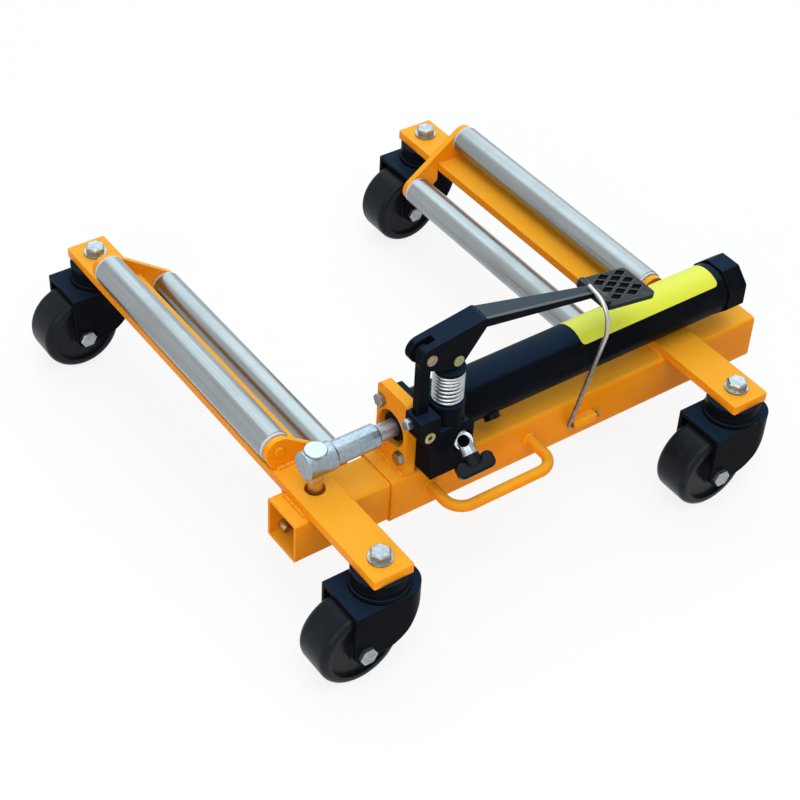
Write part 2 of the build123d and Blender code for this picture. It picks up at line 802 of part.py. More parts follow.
# Knuckle on the rod's end and the pin that ties it to the sliding arm
with BuildPart() as knuckle:
    with BuildSketch(side(knuckle_left, beam_y, ram_z)):
        Circle(knuckle_eye)
    extrude(amount=knuckle_eye_length)
    chamfer(knuckle.faces().sort_by(Axis.X)[-1].edges(), knuckle_eye - knuckle_shank - running_gap)
    with BuildSketch(side(knuckle_left, beam_y, ram_z)):
        Circle(knuckle_shank)
    extrude(amount=knuckle_length)
    chamfer(knuckle.faces().sort_by(Axis.X)[-1].edges(), knuckle_chamfer)
    with BuildSketch(level(sliding_arm_x, beam_y, ram_z + knuckle_flat)):
        Circle(pin_head_radius + passing_gap)
    extrude(amount=knuckle_eye, mode=Mode.SUBTRACT)
    with BuildSketch(level(sliding_arm_x, beam_y, ram_z)):
        Circle(pin_radius + running_gap)
    extrude(amount=knuckle_eye, both=True, mode=Mode.SUBTRACT)
keep(knuckle, "knuckle")

with BuildPart() as knuckle_pin:
    with BuildSketch(level(sliding_arm_x, beam_y, ram_z + knuckle_flat)):
        Circle(pin_head_radius)
    extrude(amount=pin_head)
    fillet(knuckle_pin.edges().group_by(Axis.Z)[-1], pin_head_rounding)
    with BuildSketch(level(sliding_arm_x, beam_y, ram_z + knuckle_flat)):
        Circle(pin_radius)
    extrude(amount=-(ram_z + knuckle_flat - beam_z + inner_size / 2))
keep(knuckle_pin, "knuckle_pin")

# Pump lever: a forked head on the fulcrum and plunger pins, and a tapered forearm
forearm_run = Vector(pad_reach - forearm_reach, 0, forearm_tip_up - pad_drop - forearm_rise)
root_plane = Plane(
    (fulcrum_x + forearm_reach, pump_y, fulcrum_z + forearm_rise), x_dir=(0, 1, 0), z_dir=forearm_run
)
pad_along = Vector(cos(radians(pad_tilt)), 0, -sin(radians(pad_tilt)))
pad_up = Vector(sin(radians(pad_tilt)), 0, cos(radians(pad_tilt)))
pad_edge = Vector(fulcrum_x + pad_reach, pump_y, fulcrum_z - pad_drop)
tip_plane = Plane(pad_edge + pad_up * forearm_tip_up, x_dir=(0, 1, 0), z_dir=pad_along)
with BuildPart() as pump_lever:
    with BuildSketch(front(fulcrum_x, pump_y, fulcrum_z)):
        Circle(head_nose)
        with Locations((pin_reach, -pin_drop)):
            Circle(head_heel)
        with Locations((head_crest_reach, head_crest_rise)):
            Circle(head_crest)
        make_hull()
    extrude(amount=head_width / 2, both=True)
    with BuildSketch(root_plane):
        RectangleRounded(forearm_root_width, forearm_root, forearm_rounding)
    with BuildSketch(tip_plane):
        RectangleRounded(forearm_tip_width, forearm_tip, forearm_rounding)
    loft(ruled=True)
    with BuildSketch(level(fulcrum_x + slot_side, pump_y, fulcrum_z)):
        Rectangle(2 * head_nose + slot_side, lever_slot, align=(Align.MAX, Align.CENTER))
    extrude(amount=2 * head_nose, both=True, mode=Mode.SUBTRACT)
    with BuildSketch(level(plunger_x + slot_side, pump_y, plunger_pin_z + slot_side)):
        Rectangle(pin_reach + slot_side, lever_slot, align=(Align.MAX, Align.CENTER))
    extrude(amount=-slot_depth, mode=Mode.SUBTRACT)
    with BuildSketch(front(fulcrum_x, pump_y, fulcrum_z)):
        with Locations((0, 0), (pin_reach, -pin_drop)):
            Circle(lever_pin_radius + running_gap)
    extrude(amount=head_width, both=True, mode=Mode.SUBTRACT)
keep(pump_lever, "pump_lever")

with BuildPart() as lever_pins:
    with BuildSketch(front(fulcrum_x, pump_y, fulcrum_z)):
        with Locations((0, 0), (pin_reach, -pin_drop)):
            Circle(lever_pin_radius)
    extrude(amount=head_width / 2, both=True)
    for outward in (1, -1):
        with BuildSketch(front(fulcrum_x, pump_y - outward * head_width / 2, fulcrum_z)):
            with Locations((0, 0), (pin_reach, -pin_drop)):
                Circle(lever_rivet_radius)
        extrude(amount=outward * lever_rivet)
keep(lever_pins, "lever_pins")

# Pedal pad with its raised lip and a diagonal lattice of pockets
pad_plane = Plane(pad_edge, x_dir=pad_along, z_dir=pad_up)
long_way = Vector(pocket_along, pocket_across / 2) * (pocket_long / 2)
short_way = Vector(pocket_along, -pocket_across / 2) * (pocket_short / 2)
with BuildPart() as pedal_pad:
    with BuildSketch(pad_plane):
        with Locations((pad_length / 2, 0)):
            RectangleRounded(pad_length, pad_width, pad_corner)
    extrude(amount=pad_thick / 2, both=True)
    with BuildSketch(pad_plane.offset(-pad_thick / 2)):
        with Locations((pad_lip / 2, 0)):
            RectangleRounded(pad_lip, pad_width - pad_corner, pad_lip_corner)
    extrude(amount=pad_thick + pad_lip_rise)
    with BuildSketch(pad_plane.offset(pad_thick / 2)):
        for shift in (0, 1):
            with Locations((pocket_mid + shift * pocket_along, pocket_side + shift * pocket_across / 2)):
                with GridLocations(2 * pocket_along, pocket_across, pocket_columns, pocket_rows):
                    Polygon(
                        long_way + short_way,
                        short_way - long_way,
                        -long_way - short_way,
                        long_way - short_way,
                    )
    extrude(amount=-pocket_depth, mode=Mode.SUBTRACT)
keep(pedal_pad, "pedal_pad")

# Link that carries the lever's fulcrum on the pump block's lug
with BuildPart() as lever_link:
    with BuildSketch(front(fulcrum_x, pump_y, fulcrum_z)):
        Circle(link_eye)
        with Locations((0, link_pivot_z - fulcrum_z)):
            Circle(link_width / 2)
        with Locations((0, (link_pivot_z - fulcrum_z) / 2)):
            Rectangle(link_width, fulcrum_z - link_pivot_z)
        Circle(lever_pin_radius + running_gap, mode=Mode.SUBTRACT)
        with Locations((0, link_pivot_z - fulcrum_z)):
            Circle(link_pin_radius + running_gap, mode=Mode.SUBTRACT)
    extrude(amount=link_thick / 2, both=True)
keep(lever_link, "lever_link")

# Pump plunger: rod, spring retainer and a tongue with an oval eye for the lever's pin
with BuildPart() as pump_plunger:
    with BuildSketch(level(plunger_x, pump_y, boss_top - plunger_depth + passing_gap)):
        Circle(plunger_radius)
    extrude(amount=retainer_top - boss_top + plunger_depth - passing_gap)
    with BuildSketch(level(plunger_x, pump_y, retainer_top)):
        Circle(spring_mean + spring_wire)
    extrude(amount=-retainer_thick)
    with BuildSketch(front(plunger_x, pump_y, plunger_pin_z)):
        Circle(tongue_width / 2)
        with Locations((0, (retainer_top - plunger_pin_z) / 2)):
            Rectangle(tongue_width, plunger_pin_z - retainer_top)
        eye_height = 2 * (lever_pin_radius + pin_play_up)
        SlotOverall(eye_height + 2 * pin_play_along, eye_height, mode=Mode.SUBTRACT)
    extrude(amount=tongue_thick / 2, both=True)
keep(pump_plunger, "pump_plunger")

# Return spring: one wire from the boss to the retainer, close turns at both ends, open between
spring_bottom = boss_top + spring_wire + spring_seat_gap
spring_top = retainer_top - retainer_thick - spring_wire - spring_seat_gap
spring_turns = close_turns_bottom + open_turns + close_turns_top
close_rise = close_pitch * (close_turns_bottom + close_turns_top)
open_pitch = (spring_top - spring_bottom - close_rise) / open_turns
quarter_turn = 0.25


def spring_height(turn):
    """Height of the wire's centre after so many turns."""
    low = min(turn, close_turns_bottom)
    mid = min(max(turn - close_turns_bottom, 0), open_turns)
    high = max(turn - close_turns_bottom - open_turns, 0)
    return spring_bottom + close_pitch * (low + high) + open_pitch * mid


def spring_point(turn):
    """Centre of the wire after so many turns."""
    angle = 2 * pi * turn
    across = spring_mean * cos(angle)
    along = spring_mean * sin(angle)
    return Vector(plunger_x + across, pump_y + along, spring_height(turn))


def spring_tangent(turn):
    """Direction of the wire after so many turns."""
    angle = 2 * pi * turn
    before = max(turn - quarter_turn, 0)
    after = min(turn + quarter_turn, spring_turns)
    rise = (spring_height(after) - spring_height(before)) / (2 * quarter_turn)
    run = 2 * pi * spring_mean
    return Vector(-sin(angle) * run, cos(angle) * run, rise).normalized()


half_turns = [step / 2 for step in range(2 * spring_turns + 1)]
with BuildPart() as pump_spring:
    with BuildLine() as spring_path:
        for first, last in zip(half_turns, half_turns[1:]):
            start = spring_point(first)
            finish = spring_point(last)
            leave = spring_tangent(first)
            arrive = spring_tangent(last)
            chord = finish - start
            bend = 2 * (1 - leave.dot(arrive))
            pull = chord.dot(leave + arrive)
            reach = (sqrt(pull * pull + bend * chord.dot(chord)) - pull) / bend
            meet = (start + leave * reach + finish - arrive * reach) * 0.5
            TangentArc(start, meet, tangent=leave)
            TangentArc(meet, finish, tangent=finish - arrive * reach - meet)
    with BuildSketch(Plane(spring_point(0), z_dir=spring_tangent(0))):
        Circle(spring_wire)
    sweep(path=spring_path.wire())
keep(pump_spring, "pump_spring")

samples = [spring_path.wire().position_at(i / spring_samples) for i in range(spring_samples + 1)]
near_turn = 3 * spring_samples // (4 * spring_turns)
distances = [
    (samples[i] - samples[j]).length
    for i in range(0, spring_samples + 1, spring_turns)
    for j in range(i + near_turn, spring_samples + 1)
]
least_gap = min(distances) - 2 * spring_wire
print("spring: least gap to itself", round(least_gap, 2), "mm")

# Carry handle, welded to the beam's front face
handle_z = beam_z + handle_above
handle_left = outer_left + handle_along
handle_right = handle_left + handle_span
with BuildPart() as carry_handle:
    with BuildLine() as handle_path:
        FilletPolyline(
            (handle_left, beam_front, handle_z),
            (handle_left, beam_front - handle_reach, handle_z),
            (handle_right, beam_front - handle_reach, handle_z),
            (handle_right, beam_front, handle_z),
            radius=handle_bend,
        )
    with BuildSketch(front(handle_left, beam_front, handle_z)):
        Circle(handle_radius)
    sweep(path=handle_path.wire())
keep(carry_handle, "carry_handle")

# Lug on the beam's front face and the wire hook that holds the lever down
with BuildPart() as hook_lug:
    with BuildSketch(side(lug_left, hook_y, hook_z)):
        Circle(lug_tube)
        with Locations((lug_tube / 2, 0)):
            Rectangle(lug_tube, 2 * lug_tube)
        Circle(hook_wire + running_gap, mode=Mode.SUBTRACT)
    extrude(amount=lug_length)
keep(hook_lug, "hook_lug")

with BuildPart() as wire_hook:
    with BuildLine() as hook_path:
        hook_end = lug_left + lug_length + hook_tail
        FilletPolyline(
            (hook_end, hook_y, hook_z),
            (hook_x, hook_y, hook_z),
            (hook_x, hook_y - hook_lean_out, hook_z + hook_lean_up),
            (hook_x, hook_y - hook_turn_out, hook_z + hook_turn_up),
            (hook_x, hook_y - hook_crown_out, hook_z + hook_crown_up),
            (hook_x, hook_y - hook_tip_out, hook_z + hook_tip_up),
            radius=[hook_bend, hook_lean_bend, hook_crown_bend, hook_crown_bend],
        )
    with BuildSketch(side(hook_end, hook_y, hook_z)):
        Circle(hook_wire)
    sweep(path=hook_path.wire())
    with BuildSketch(side(hook_end, hook_y, hook_z)):
        Circle(hook_head)
    extrude(amount=-hook_head_thick)
keep(wire_hook, "wire_hook")
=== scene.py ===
# %% [markdown]
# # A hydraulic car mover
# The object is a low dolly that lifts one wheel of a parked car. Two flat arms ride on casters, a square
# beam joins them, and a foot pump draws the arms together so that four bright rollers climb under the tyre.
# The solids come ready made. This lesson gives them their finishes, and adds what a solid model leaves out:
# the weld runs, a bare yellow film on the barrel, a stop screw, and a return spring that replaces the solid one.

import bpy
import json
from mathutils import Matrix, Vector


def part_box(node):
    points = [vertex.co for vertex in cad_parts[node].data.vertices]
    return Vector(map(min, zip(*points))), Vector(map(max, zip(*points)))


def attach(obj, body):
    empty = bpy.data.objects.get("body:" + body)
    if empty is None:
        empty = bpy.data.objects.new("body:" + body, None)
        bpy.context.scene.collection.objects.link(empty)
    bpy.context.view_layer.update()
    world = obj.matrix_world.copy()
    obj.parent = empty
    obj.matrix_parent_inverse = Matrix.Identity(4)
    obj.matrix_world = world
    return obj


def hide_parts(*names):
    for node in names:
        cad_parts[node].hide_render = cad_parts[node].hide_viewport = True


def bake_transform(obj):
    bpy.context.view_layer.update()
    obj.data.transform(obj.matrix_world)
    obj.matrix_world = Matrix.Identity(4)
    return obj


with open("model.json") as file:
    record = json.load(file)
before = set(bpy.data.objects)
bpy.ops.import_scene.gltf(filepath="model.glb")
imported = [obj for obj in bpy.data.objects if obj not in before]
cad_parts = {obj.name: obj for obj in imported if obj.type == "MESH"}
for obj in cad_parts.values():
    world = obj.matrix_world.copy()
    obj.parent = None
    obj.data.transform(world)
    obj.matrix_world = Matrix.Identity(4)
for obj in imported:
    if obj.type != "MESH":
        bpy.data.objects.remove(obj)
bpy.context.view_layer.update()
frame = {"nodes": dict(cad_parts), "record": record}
nodes = frame["nodes"]

# %% [markdown]
# ## The camera
# The photograph looks down on the dolly from its front left corner. Bars and tubes are straight, so their
# corners are enough to work a camera back: how far round it stands, how high, how much it leans, and how long
# its lens is. Writing those four down as numbers keeps them readable. A camera looks along its own -Z, so the
# columns of its matrix are its right, its up and the reverse of its view.

# %% Set up the camera
import bpy
from math import cos, pi, radians, sin
from mathutils import Matrix, Vector

camera_place = Vector((-0.9599, -1.2383, 1.3882))
camera_round = 0.651
camera_down = 0.723
camera_lean = 0.0566
level_view = Vector((sin(camera_round), cos(camera_round), 0))
view_line = level_view * cos(camera_down) - Vector((0, 0, sin(camera_down)))
level_right = Vector((cos(camera_round), -sin(camera_round), 0))
level_up = level_right.cross(view_line)
lean_right = level_right * cos(camera_lean) + level_up * sin(camera_lean)
lean_up = level_up * cos(camera_lean) - level_right * sin(camera_lean)

camera = bpy.data.cameras.new("photo_camera")
camera.lens = 84.64
camera.sensor_width = 36
camera_object = bpy.data.objects.new("photo_camera", camera)
turn = Matrix((lean_right, lean_up, -view_line)).transposed().to_4x4()
camera_object.matrix_world = Matrix.Translation(camera_place) @ turn
bpy.context.scene.collection.objects.link(camera_object)
bpy.context.scene.camera = camera_object
bpy.context.scene.view_settings.view_transform = "Standard"
print("camera stands", round(camera_place.length, 2), "m from the origin")

# %% [markdown]
# ## Writing shader maths as sums
# A material is a graph of nodes, and wiring one by hand is slow to read. A small class can hold one output
# socket and answer to plus, minus and times, so that `1 - wear` adds the right Math node by itself. Everything
# that isn't plain arithmetic goes through a single method: it names the node, its settings and what feeds it.

# %% Make the socket class
class Tone:
    """An output socket of a shader, ready for sums."""

    def __init__(self, tree, socket=None):
        self.tree = tree
        self.socket = socket

    def node(self, kind, settings=None, feeds=None, output=0):
        """Add a node: settings first, then the values or links of its inputs."""
        made = self.tree.nodes.new(kind)
        for name, value in (settings or {}).items():
            setattr(made, name, value)
        for name, value in (feeds or {}).items():
            if isinstance(value, Tone):
                self.tree.links.new(value.socket, made.inputs[name])
            else:
                made.inputs[name].default_value = value
        return Tone(self.tree, made.outputs[output] if made.outputs else None)

    def sum(self, operation, first, second):
        """Add a Math node for two numbers."""
        return self.node("ShaderNodeMath", {"operation": operation}, {0: first, 1: second})

    def __add__(self, other):
        return self.sum("ADD", self, other)

    def __sub__(self, other):
        return self.sum("SUBTRACT", self, other)

    def __mul__(self, other):
        return self.sum("MULTIPLY", self, other)

    def __radd__(self, other):
        return self.sum("ADD", other, self)

    def __rsub__(self, other):
        return self.sum("SUBTRACT", other, self)

    def __rmul__(self, other):
        return self.sum("MULTIPLY", other, self)


print("sums on sockets are ready")

# %% [markdown]
# ## Floor and light
# The photograph has a plain white ground and soft light from above, with a colder light from the back. A pale
# floor under large lamps gives that, but a lit floor is never quite white, and turning the lamps up would burn
# the paint. So the world shows white to the camera and to reflections, and the floor does too, all the way once it
# is well away from the dolly. Near it, the floor keeps a little of its own shading, and with it the shadow.

# %% Lay the floor and hang the lamps
import bmesh

WHITE = (1, 1, 1, 1)
floor_reach = 6
seen_share = 0.84
fade_start, fade_end = 0.6, 2.2
ambient_light = 0.45


def seen_rays(tone):
    """One for rays from the camera, a reflection or a clear surface, and nothing for the rest."""
    camera_ray, glossy_ray, clear_ray = (
        tone.node("ShaderNodeLightPath", output=f"Is {ray} Ray") for ray in ("Camera", "Glossy", "Transmission"))
    return tone.node("ShaderNodeClamp", feeds={"Value": camera_ray + glossy_ray + clear_ray})


floor_paint = bpy.data.materials.new("floor_paint")
floor_paint.use_nodes = True
floor_paint.node_tree.nodes.clear()
floor_tone = Tone(floor_paint.node_tree)
lit_floor = floor_tone.node("ShaderNodeBsdfDiffuse", feeds={"Color": (0.86, 0.86, 0.86, 1)})
white_floor = floor_tone.node("ShaderNodeEmission", feeds={"Color": WHITE, "Strength": 1.0})
floor_place = floor_tone.node("ShaderNodeTexCoord", output="Object")
floor_away = floor_tone.node("ShaderNodeVectorMath", {"operation": "LENGTH"}, {0: floor_place}, output="Value")
fade = {"Value": floor_away, "From Min": fade_start, "From Max": fade_end, "To Min": seen_share, "To Max": 1.0}
white_share = seen_rays(floor_tone) * floor_tone.node("ShaderNodeMapRange", feeds=fade)
floor_mix = floor_tone.node("ShaderNodeMixShader", feeds={0: white_share, 1: lit_floor, 2: white_floor})
floor_tone.node("ShaderNodeOutputMaterial", feeds={"Surface": floor_mix})

floor_shape = bmesh.new()
bmesh.ops.create_grid(floor_shape, x_segments=1, y_segments=1, size=floor_reach)
floor_mesh = bpy.data.meshes.new("floor")
floor_shape.to_mesh(floor_mesh)
floor_shape.free()
floor_mesh.materials.append(floor_paint)
floor = bpy.data.objects.new("floor", floor_mesh)
bpy.context.scene.collection.objects.link(floor)

world = bpy.data.worlds.new("studio")
bpy.context.scene.world = world
world.use_nodes = True
world.node_tree.nodes.clear()
sky = Tone(world.node_tree)
sky_light = sky.node("ShaderNodeBackground", feeds={"Color": (0.95, 0.97, 1, 1), "Strength": ambient_light})
sky_white = sky.node("ShaderNodeBackground", feeds={"Color": WHITE, "Strength": 1.0})
sky_mix = sky.node("ShaderNodeMixShader", feeds={0: seen_rays(sky), 1: sky_light, 2: sky_white})
sky.node("ShaderNodeOutputWorld", feeds={"Surface": sky_mix})


def hang_lamp(name, place, size, power, tint=(1, 1, 1)):
    """A square soft lamp at a place, turned to the dolly."""
    lamp = bpy.data.lights.new(name, "AREA")
    lamp.size = size
    lamp.energy = power
    lamp.color = tint
    hung = bpy.data.objects.new(name, lamp)
    aim = (lamp_target - Vector(place)).to_track_quat("-Z", "Y")
    hung.matrix_world = Matrix.Translation(place) @ aim.to_matrix().to_4x4()
    bpy.context.scene.collection.objects.link(hung)
    return hung


lamp_target = Vector((0, 0, 0.1))
cold_light = (0.74, 0.93, 1)
lamps = [
    hang_lamp("overhead_lamp", (-0.35, -0.75, 2.0), 1.4, 21),
    hang_lamp("left_lamp", (-1.75, -1.2, 1.0), 1.2, 12),
    hang_lamp("back_lamp", (0.9, 1.15, 1.9), 3.2, 46, cold_light),
]
print("lamps hung:", ", ".join(lamp.name for lamp in lamps))

# %% [markdown]
# ## What the finishes share
# Rolled, cut and moulded edges are never knife sharp. Rather than touch the solids, a Bevel node rounds the
# normals near each edge, and the angle between rounded and true normal also tells where an edge is, which is
# where plating brightens and where paint is made lighter, partly as a thinner coat and partly as a painted
# highlight. Grain comes from noise on Object coordinates, so it stays put on the piece. One function closes
# every finish with the principled shader.

# %% Share edges, grain and closing
def start_finish(name):
    """An empty material and the tone to build it with."""
    material = bpy.data.materials.new(name)
    material.use_nodes = True
    material.node_tree.nodes.clear()
    return material, Tone(material.node_tree)


def grain(tone, scale, detail, stretch=None):
    """Noise from nought to one over the piece, drawn out where stretch is given."""
    place = tone.node("ShaderNodeTexCoord", output="Object")
    if stretch:
        place = tone.node("ShaderNodeMapping", feeds={"Vector": place, "Scale": stretch})
    return tone.node("ShaderNodeTexNoise", feeds={"Vector": place, "Scale": scale, "Detail": detail})


def between(tone, value, low, high):
    """Nought below low and one above high, with soft ends."""
    feeds = {"Value": value, "From Min": low, "From Max": high}
    return tone.node("ShaderNodeMapRange", {"interpolation_type": "SMOOTHSTEP"}, feeds)


def blend_colour(tone, share, first, second):
    """Mix two colours."""
    return tone.node("ShaderNodeMix", {"data_type": "RGBA"}, {0: share, 6: first, 7: second}, output=2)


def rounded(tone, radius):
    """Normals rounded near the edges."""
    return tone.node("ShaderNodeBevel", {"samples": 6}, {"Radius": radius})


def near_edge(tone, soft):
    """How near an edge is, from the rounded normals."""
    true = tone.node("ShaderNodeNewGeometry", output="True Normal")
    agree = tone.node("ShaderNodeVectorMath", {"operation": "DOT_PRODUCT"}, {0: soft, 1: true}, output="Value")
    return between(tone, 1 - agree, 0.02, 0.3)


def facing_up(tone, low, high):
    """How far a face of the piece looks up, from nought to one."""
    normal = tone.node("ShaderNodeTexCoord", output="Normal")
    return between(tone, tone.node("ShaderNodeSeparateXYZ", feeds={0: normal}, output="Z"), low, high)


def past(tone, axis, low, high):
    """Nought before low and one past high, along an axis of the piece."""
    place = tone.node("ShaderNodeTexCoord", output="Object")
    return between(tone, tone.node("ShaderNodeSeparateXYZ", feeds={0: place}, output=axis), low, high)


def raised(tone, height, distance, normal, strength=1.0):
    """Bump on top of the rounded normals."""
    feeds = {"Strength": strength, "Distance": distance, "Height": height, "Normal": normal}
    return tone.node("ShaderNodeBump", feeds=feeds)


def close_finish(tone, colour, roughness, normal, fixed):
    """End a finish with the principled shader and its fixed sockets."""
    feeds = {"Base Color": colour, "Roughness": roughness, "Normal": normal, **fixed}
    surface = tone.node("ShaderNodeBsdfPrincipled", feeds=feeds)
    tone.node("ShaderNodeOutputMaterial", feeds={"Surface": surface})


finishes = {}
print("helpers for finishes are ready")

# %% [markdown]
# ## Orange-yellow frame paint
# Bars, tubes, plates, bracket and handle share one thick glossy coat. Sprayed paint has a faint orange peel,
# pools a little darker here and there, and picks up rubbed patches that are less glossy. Its edges are lighter,
# partly from a thinner, worn coat and partly as a painted highlight. Faces that look up are painted yellower
# than the sides, as painted light and sheen from above. A flat colour with gloss would do from afar, but the
# broad surfaces of the bars would then look like plastic.

# %% Mix the frame paint
material, tone = start_finish("frame_paint")
pooled = grain(tone, 11, 2)
rubbed_and_sheen = between(tone, grain(tone, 55, 6), 0.58, 0.72)
peel = grain(tone, 620, 2)
edge_normal = rounded(tone, 0.0016)
edge = near_edge(tone, edge_normal)
colour = blend_colour(tone, between(tone, pooled, 0.35, 0.68), (0.87, 0.262, 0.003, 1), (0.93, 0.31, 0.006, 1))
# painted light: faces that look up get a yellower, lighter colour, a painted sheen from above
colour = blend_colour(tone, facing_up(tone, 0.45, 0.9), colour, (0.86, 0.367, 0.022, 1))
colour = blend_colour(tone, rubbed_and_sheen * 0.22, colour, (0.78, 0.31, 0.02, 1))
# lighter edges: partly a thinner, worn coat, partly a painted highlight
colour = blend_colour(tone, edge * 0.35, colour, (0.95, 0.5, 0.06, 1))
close_finish(tone, colour, 0.3 + rubbed_and_sheen * 0.13, raised(tone, peel, 0.00022, edge_normal),
             {"Specular IOR Level": 0.055})
finishes["frame_paint"] = material
print("frame paint mixed with", len(material.node_tree.nodes), "nodes")

# %% [markdown]
# ## Black paint
# Pump, barrel, lever, races and caster forks are black with a cold blue sheen where they face the light.
# A mask of the faces that look up carries that sheen, a painted sheen in the colour. Black needs its gloss to
# vary, or it turns into a hole in the picture, so dust and handling make the roughness wander, and edges are a
# shade lighter: a painted highlight where they catch the light, on a coat that is thinner there. On the lever's
# forearm, past its head, the top is paler with a painted sheen, and the rounded corners are palest with a
# painted highlight.

# %% Mix the black paint
# how softly the painted sheen and highlight on the forearm begin
sheen_reach = 0.001
forearm_from_pin = 0.0668


def black_coat(name, sheen_from=None):
    """Black paint, with a painted sheen on top and a painted highlight on rounded corners past a place on X where
    one is given.
    """
    material, tone = start_finish(name)
    dusty = between(tone, grain(tone, 38, 6), 0.5, 0.75)
    cloud = grain(tone, 9, 2)
    fine = grain(tone, 480, 3)
    edge_normal = rounded(tone, 0.0012)
    edge = near_edge(tone, edge_normal)
    colour = blend_colour(tone, cloud, (0.003, 0.0036, 0.0046, 1), (0.0048, 0.006, 0.0082, 1))
    colour = blend_colour(tone, dusty * 0.2, colour, (0.018, 0.0185, 0.019, 1))
    # painted sheen: faces that look up get a cold blue colour
    colour = blend_colour(tone, facing_up(tone, 0.76, 0.89), colour, (0.009, 0.0185, 0.036, 1))
    # edges a shade lighter: a painted highlight, on a coat that is thinner there
    colour = blend_colour(tone, edge * 0.6, colour, (0.034, 0.041, 0.052, 1))
    if sheen_from:
        # past the given place on X: a painted sheen on the top and a painted highlight along the rounded corners
        rubbed_and_sheen = past(tone, "X", sheen_from - sheen_reach, sheen_from + sheen_reach)
        corner = facing_up(tone, 0.2, 0.5) - facing_up(tone, 0.8, 0.97)
        colour = blend_colour(tone, rubbed_and_sheen * facing_up(tone, 0.2, 0.7), colour, (0.046, 0.06, 0.075, 1))
        colour = blend_colour(tone, rubbed_and_sheen * corner * 0.9, colour, (0.15, 0.165, 0.18, 1))
    close_finish(tone, colour, 0.3 + dusty * 0.16, raised(tone, fine, 0.00018, edge_normal),
                 {"Specular IOR Level": 0.013, "Specular Tint": (0.4, 0.62, 1, 1)})
    finishes[name] = material


black_coat("black_paint")
# lever paint: black paint with the painted sheen and highlight on the forearm
black_coat("lever_paint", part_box("lever_pins")[0].x + forearm_from_pin)
print("black paint mixed with", len(finishes["black_paint"].node_tree.nodes), "nodes")

# %% [markdown]
# ## Bright plated tube
# The rollers are drawn tubes with a bright plating, so their fine marks run lengthwise, along Y. Noise that is
# squeezed across the tube and drawn out along it gives those marks. A rolled tyre leaves faint dull bands as
# well. Too smooth a mirror would only show the white room, so the metal is left a little grey.

# %% Plate the rollers
material, tone = start_finish("chrome")
drawn = grain(tone, 1, 4, stretch=(520, 7, 520))
bands = between(tone, grain(tone, 1, 3, stretch=(3, 26, 3)), 0.45, 0.72)
smear = grain(tone, 30, 5)
# painted reflections: pale streaks along the tube
reflection_streaks = between(tone, grain(tone, 1, 2, stretch=(170, 3, 170)), 0.36, 0.64)
edge_normal = rounded(tone, 0.0008)
colour = blend_colour(tone, drawn, (0.215, 0.238, 0.244, 1), (0.31, 0.338, 0.347, 1))
colour = blend_colour(tone, reflection_streaks * 0.6, colour, (0.36, 0.392, 0.403, 1))
colour = blend_colour(tone, bands * 0.3, colour, (0.24, 0.253, 0.256, 1))
close_finish(tone, colour, 0.22 + drawn * 0.08 + bands * 0.08 + smear * 0.05,
             raised(tone, drawn, 0.00003, edge_normal), {"Metallic": 1.0})
finishes["chrome"] = material
print("bright plating made with", len(material.node_tree.nodes), "nodes")

# %% [markdown]
# ## Small metal: zinc, ground steel, bronze
# Bolts, wire, spring, rod and pins are bare or thinly plated metal. They differ in colour and in how matt they
# are, not in kind, so one recipe with a few values serves them all: a spotted plating, a brightened edge, and
# fine marks from tooling. The knuckle's pin has a bluer head, the hook a painted highlight over its bend, and
# the two pins of the lever differ, so the recipe can change to a second pair of colours past a place on an axis.

# %% Make the small metals
metal_edge = 0.0006
change_reach = 0.002
bend_reach = 0.02
bend_depth = 0.065
head_depth = 0.01


def small_metal(name, dark, bright, roughness, spots=240, second=None):
    """A plated or bare metal between two colours, and a second pair past a place on an axis where it is given."""
    material, tone = start_finish(name)
    spotted = grain(tone, spots, 4)
    handled = grain(tone, 45, 5)
    edge_normal = rounded(tone, metal_edge)
    edge = near_edge(tone, edge_normal)
    colour = blend_colour(tone, between(tone, spotted, 0.3, 0.7), dark, bright)
    colour = blend_colour(tone, edge * 0.4, colour, [min(1.0, part * 1.25) for part in bright])
    if second:
        axis, low, high, second_dark, second_bright = second
        other = blend_colour(tone, spotted, second_dark, second_bright)
        colour = blend_colour(tone, past(tone, axis, low, high), colour, other)
    close_finish(tone, colour, roughness + handled * 0.16, raised(tone, spotted, 0.00005, edge_normal),
                 {"Metallic": 1.0})
    finishes[name] = material


bend_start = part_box("wire_hook")[1].z - bend_depth
head_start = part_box("knuckle_pin")[1].z - head_depth
pins_low, pins_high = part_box("lever_pins")
pins_middle = (pins_low.x + pins_high.x) / 2
# painted highlight: the hook is brighter over its upper bend
painted_highlight_bend = ("Z", bend_start - bend_reach, bend_start + bend_reach,
               (0.4, 0.39, 0.37, 1), (0.58, 0.57, 0.55, 1))
bright_head = ("Z", head_start - change_reach, head_start + change_reach,
               (0.34, 0.42, 0.47, 1), (0.48, 0.57, 0.63, 1))
green_pin = ("X", pins_middle - change_reach, pins_middle + change_reach,
             (0.21, 0.22, 0.1, 1), (0.36, 0.36, 0.18, 1))
small_metal("zinc", (0.25, 0.28, 0.305, 1), (0.38, 0.415, 0.44, 1), 0.24)
small_metal("bright_wire", (0.4, 0.43, 0.46, 1), (0.55, 0.59, 0.62, 1), 0.3)
small_metal("bright_zinc", (0.235, 0.295, 0.335, 1), (0.33, 0.395, 0.445, 1), 0.22, spots=320)
small_metal("dull_wire", (0.15, 0.145, 0.138, 1), (0.27, 0.262, 0.25, 1), 0.3, spots=300, second=painted_highlight_bend)
